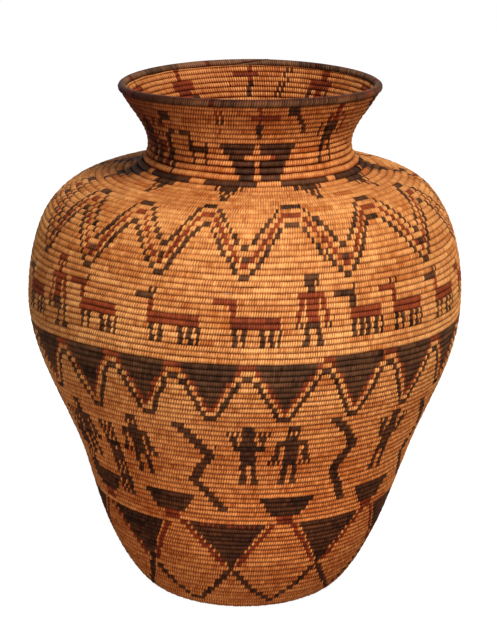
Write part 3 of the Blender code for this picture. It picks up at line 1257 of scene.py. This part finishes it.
def lay_out_map(mesh, ring, section, first_corner, corner_count, corner_vertex):
    """Lays the coil out in strips, as wide as they need to be for stitches in true shape."""
    last_ring = ring.max()
    section_girth = math.tau * wall_thickness / 2
    strips = max(1, round(math.sqrt(last_ring * usual_stitch / 2 / section_girth)))
    along_coil = ring[corner_vertex] / (last_ring + 1) * strips
    round_section = np.arctan2(section[corner_vertex, 1], section[corner_vertex, 0]) / math.tau + 0.5
    is_quad = corner_count == 4
    quad_corners = first_corner[is_quad][:, None] + np.arange(4)
    strip = np.floor(along_coil[quad_corners].min(axis=1))[:, None]
    around = round_section[quad_corners]
    wraps = (around.max(axis=1) - around.min(axis=1) > 0.5)[:, None] & (around > 0.9)
    around = np.where(wraps, 0, around)
    places = np.empty((len(corner_vertex), 2), np.float32)
    places[quad_corners, 0] = strip_share * (along_coil[quad_corners] - strip)
    places[quad_corners, 1] = (strip + around) / strips
    caps = np.where(~is_quad)[0]
    for index, cap in enumerate(caps):
        corners = np.arange(first_corner[cap], first_corner[cap] + corner_count[cap])
        shape = section[corner_vertex[corners], :2]
        middle = (cap_column, cap_spacing * (index + 1))
        places[corners] = middle + cap_radius * shape
    layer = mesh.uv_layers.new(name="OFBake")
    layer.uv.foreach_set("vector", places.ravel())


def sewn_piece(name, path, finish, splints_for, sides, seed, sizes=None):
    """A length of sewn coil as a plain mesh, with its stitches' facts as attributes."""
    holder = path_object(name + "_path", path)
    modifier = holder.modifiers.new("sewn_coil", "NODES")
    modifier.node_group = sewing
    wanted = {"Sides": sides, "Seed": seed, "Finish": finish} | (sizes or {})
    for label, value in wanted.items():
        modifier[socket_name(sewing, label)] = value
    mesh = made_mesh(holder)
    mesh.name = name

    ring = read_values(mesh, "ring", 1)
    turn = read_values(mesh, "turn", 1)
    section = read_values(mesh, "section", 3)
    first_corner = whole_numbers(mesh.polygons, "loop_start")
    corner_count = whole_numbers(mesh.polygons, "loop_total")
    corner_vertex = whole_numbers(mesh.loops, "vertex_index")

    rings = int(ring.max()) + 1
    turn_of_ring = np.zeros(rings + 1)
    turn_of_ring[ring.astype(int)] = turn
    turn_of_ring[rings] = turn_of_ring[rings - 1]
    stitches = rings // 2 + 1
    crowns = np.minimum(np.arange(stitches) * 2 + 1, rings)
    kinds = splints_for(turn_of_ring[crowns], np.arange(stitches))
    tones = splint_tones(stitches, tone_seed + seed)
    four = first_corner[:, None] + np.minimum(np.arange(4), corner_count[:, None] - 1)
    stitch = (ring[corner_vertex[four]].min(axis=1) // 2).astype(int)
    write_values(mesh, "claw", "FACE", kinds[stitch] == CLAW)
    write_values(mesh, "root", "FACE", kinds[stitch] == ROOT)
    write_values(mesh, "tone", "FACE", tones[stitch])
    write_values(mesh, "row_gap", "POINT", np.abs(section[:, 1]))
    write_values(mesh, "stitch_gap", "POINT", 1 - ring % 2)
    write_values(mesh, "upper_edge", "POINT", np.maximum(section[:, 1], 0))
    write_values(mesh, "outer_side", "POINT", section[:, 0] > 0)
    lay_out_map(mesh, ring, section, first_corner, corner_count, corner_vertex)
    for spare in ("ring", "turn", "section", "centre", "outward", "uphill", "half_height", "half_depth"):
        mesh.attributes.remove(mesh.attributes[spare])
    print(name, "stitches:", stitches, "faces:", len(mesh.polygons))
    return new_object(name, mesh)


# %% [markdown]
# ## The body's coil, stretch by stretch
# The coil is cut where the plain rings meet, so that each piece stands for one ring. A
# stretch with very many stitches is cut once more, to keep each mesh of a handy size.

# %% Wind the body
turn_table = np.linspace(0, pace_turns[-1] + 1, 4000)
length_table = length_at(turn_table)


def turn_at(length):
    """Turn number at which the coil's upper edge comes to this distance along the wall."""
    return float(np.interp(length, length_table, turn_table))


run_out = 0.45
knot_radius = 9 * mm
body_sides = 8
neck_sides = 10
first_turn = 0.02
last_turn = turn_at(wall_length) + run_out
knot_end = turn_at(knot_radius)
cuts = [("start_knot", first_turn, knot_end)]
lower = knot_end
for name, length in stretch_ends.items():
    upper = last_turn if name == "rim_seat_coils" else turn_at(length)
    cuts.append((name, lower, upper))
    lower = upper
halved = {"middle_wall_coils", "upper_wall_coils", "belly_coils", "shoulder_turn_coils", "shoulder_coils"}
neck_names = {"neck_root_coils", "neck_waist_coils", "neck_flare_coils", "rim_seat_coils"}

for seed, (name, lower, upper) in enumerate(cuts):
    middle = (lower + upper) / 2
    spans = [("lower", lower, middle), ("upper", middle, upper)] if name in halved else [("", lower, upper)]
    for label, start, end in spans:
        piece_name = "_".join(filter(None, ("sewn", name, label)))
        sides = neck_sides if name in neck_names else body_sides
        piece = sewn_piece(
            piece_name, body_path(start, end), sewing_splints, body_splints, sides, seed + 1
        )
        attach(piece, "root")
        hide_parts(name)

# %% [markdown]
# ## The rim turn
# The last turn is sewn in black. Its middle line is read from the plain sleeve. At the back
# its start comes up from the turn below and its end is thinned down over that, so that the
# two make one full turn. The three rods run inside it.

# %% Rim
rim_low, rim_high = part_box("rim_sewing")
rim_plain_radius = (rim_high.z - rim_low.z) / 2
rim_middle_height = (rim_high.z + rim_low.z) / 2
rim_middle_radius = rim_high.x - rim_plain_radius
rim_half = 3.9 * mm
rim_stitch = 2.3 * mm
rim_scarf_degrees = 18
rim_slope_degrees = 63
thinnest_share = 0.08


def rim_path():
    """Path of the rim turn, with its two ends thinned where they lie over each other."""
    scarf = rim_scarf_degrees / 360
    half_stitches = 2 * math.tau * rim_middle_radius * (1 + scarf) / rim_stitch
    turn = np.linspace(-scarf / 2, 1 + scarf / 2, round(half_stitches))
    angle = np.radians(rim_start_angle - 360 * turn)
    begun = np.clip((turn + scarf / 2) / scarf, 0, 1)
    left = np.clip((1 + scarf / 2 - turn) / scarf, 0, 1)
    share = np.maximum(np.minimum(begun, left), thinnest_share)
    slope = np.full(len(turn), math.radians(rim_slope_degrees))
    outward, uphill = direction(angle, slope)
    centre = np.stack(
        [
            rim_middle_radius * np.sin(angle),
            -rim_middle_radius * np.cos(angle),
            np.full(len(turn), rim_middle_height),
        ],
        axis=1,
    )
    shift = (1 - share) * rim_half * np.where(turn < 0.5, -1, 1)
    centre += uphill * shift[:, None]
    half_depth = rim_half * (0.7 + 0.3 * share)
    return lean(centre), outward, uphill, share * rim_half, half_depth, turn


rim = sewn_piece(
    "sewn_rim",
    rim_path(),
    rim_splints,
    rim_splint_kinds,
    sides=12,
    seed=40,
    sizes={"Groove": 0.1, "Awl Notch": 0.0, "Wander": 0.3 * mm, "Lean": 1.2 * mm, "Flatness": 0.9},
)
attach(rim, "root")
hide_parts("rim_sewing")

# %% [markdown]
# ## The rods in the rim
# Peeled willow rods are cream to tan and smooth. A faint mottle, about a millimetre wide,
# varies their tan. Each is a tube along the rim's path, as thin as the sewing round it lets
# it be.

# %% Rods
rod_radius = 1.3 * mm
rod_circle_radius = 1.55 * mm
full_share = 0.85
samples_per_station = 6
mottle_width = 1.11 * mm
rod_levels = {"IOR": splint_ior, "Roughness": 0.62}
rod_material, rod_tree, rod_shader = new_material("peeled_willow_rod", rod_levels)
rod_place = add_node(rod_tree, "ShaderNodeTexCoord").outputs["Object"]
mottle = add_node(
    rod_tree, "ShaderNodeTexNoise", {"Vector": rod_place, "Scale": 1 / mottle_width, "Detail": 3.0}
)
rod_colour = add_node(
    rod_tree,
    "ShaderNodeMix",
    {0: mottle, 6: colour("#D9B27C"), 7: colour("#A9783F")},
    data_type="RGBA",
)
rod_relief = add_node(
    rod_tree, "ShaderNodeBump", {"Height": mottle, "Strength": 0.3, "Distance": 0.1 * mm}
)
rod_tree.links.new(rod_colour.outputs[2], rod_shader.inputs["Base Color"])
rod_tree.links.new(rod_relief.outputs[0], rod_shader.inputs["Normal"])

centre, outward, uphill, half_height, *_ = rim_path()
full = half_height > full_share * rim_half
for index, node in enumerate(("rim_rod_upper", "rim_rod_inner", "rim_rod_outer")):
    around = math.radians(90 + 120 * index)
    spoke = math.sin(around) * uphill - math.cos(around) * outward
    stations = (centre + rod_circle_radius * spoke)[full][::samples_per_station]
    curve = bpy.data.curves.new("rod_" + node, "CURVE")
    curve.dimensions = "3D"
    curve.bevel_depth = rod_radius
    curve.bevel_resolution = 3
    curve.use_fill_caps = True
    spline = curve.splines.new("POLY")
    spline.points.add(len(stations) - 1)
    places = np.concatenate([stations, np.ones((len(stations), 1))], axis=1)
    spline.points.foreach_set("co", places.ravel())
    mesh = made_mesh(new_object("rod_maker", curve))
    mesh.materials.clear()
    mesh.materials.append(rod_material)
    mesh.shade_smooth()
    rod = new_object("visual_" + node, mesh)
    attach(rod, "root")
    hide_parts(node)
print("three rods in the rim")

# %% [markdown]
# ## Floor and light
# The photograph shows the basket on plain white, lit softly from above, in front and from
# the right. The floor is white paper to the camera and still takes the basket's shadow.

# %% Floor
floor_size = 12.0
paper_glow = 0.93
bpy.ops.mesh.primitive_plane_add(size=floor_size, location=(0, 0, 0))
floor = bpy.context.object
floor.name = "paper_floor"
floor_levels = {
    "Base Color": colour("#989898"),
    "Roughness": 0.9,
    "Specular IOR Level": 0.0,
    "Emission Color": (1, 1, 1, 1),
}
floor_material, floor_tree, floor_shader = new_material("white_paper", floor_levels)
seen_by_camera = add_node(floor_tree, "ShaderNodeLightPath").outputs["Is Camera Ray"]
glow = add_node(floor_tree, "ShaderNodeMath", [seen_by_camera, paper_glow], operation="MULTIPLY")
floor_tree.links.new(glow.outputs[0], floor_shader.inputs["Emission Strength"])
floor.data.materials.append(floor_material)

# %% World and lamps
fill_strength = 0.16
world = bpy.data.worlds.new("studio")
bpy.context.scene.world = world
world.use_nodes = True
world_tree = world.node_tree
rays = add_node(world_tree, "ShaderNodeLightPath").outputs
seen = rays["Is Camera Ray"]
for kind in ("Is Glossy Ray", "Is Transmission Ray"):
    seen = add_node(world_tree, "ShaderNodeMath", [seen, rays[kind]], operation="MAXIMUM")
strength = add_node(world_tree, "ShaderNodeMapRange", [seen, 0.0, 1.0, fill_strength, 1.0])
background = world_tree.nodes["Background"]
background.inputs["Color"].default_value = (1, 1, 1, 1)
world_tree.links.new(strength.outputs[0], background.inputs["Strength"])

lamps = (
    ("key", (1.0, -1.6, 2.7), 1.1, 100),
    ("front_fill", (-0.2, -2.9, 1.0), 1.2, 52),
)
aim = Vector((0, 0, 0.3))
for name, place, size, power in lamps:
    data = bpy.data.lights.new(name, "AREA")
    data.shape = "DISK"
    data.size = size
    data.energy = power
    lamp = new_object(name, data)
    lamp.location = place
    lamp.rotation_euler = (aim - Vector(place)).to_track_quat("-Z", "Y").to_euler()
bpy.context.scene.view_settings.view_transform = "Standard"
print("lamps:", [name for name, *_ in lamps])
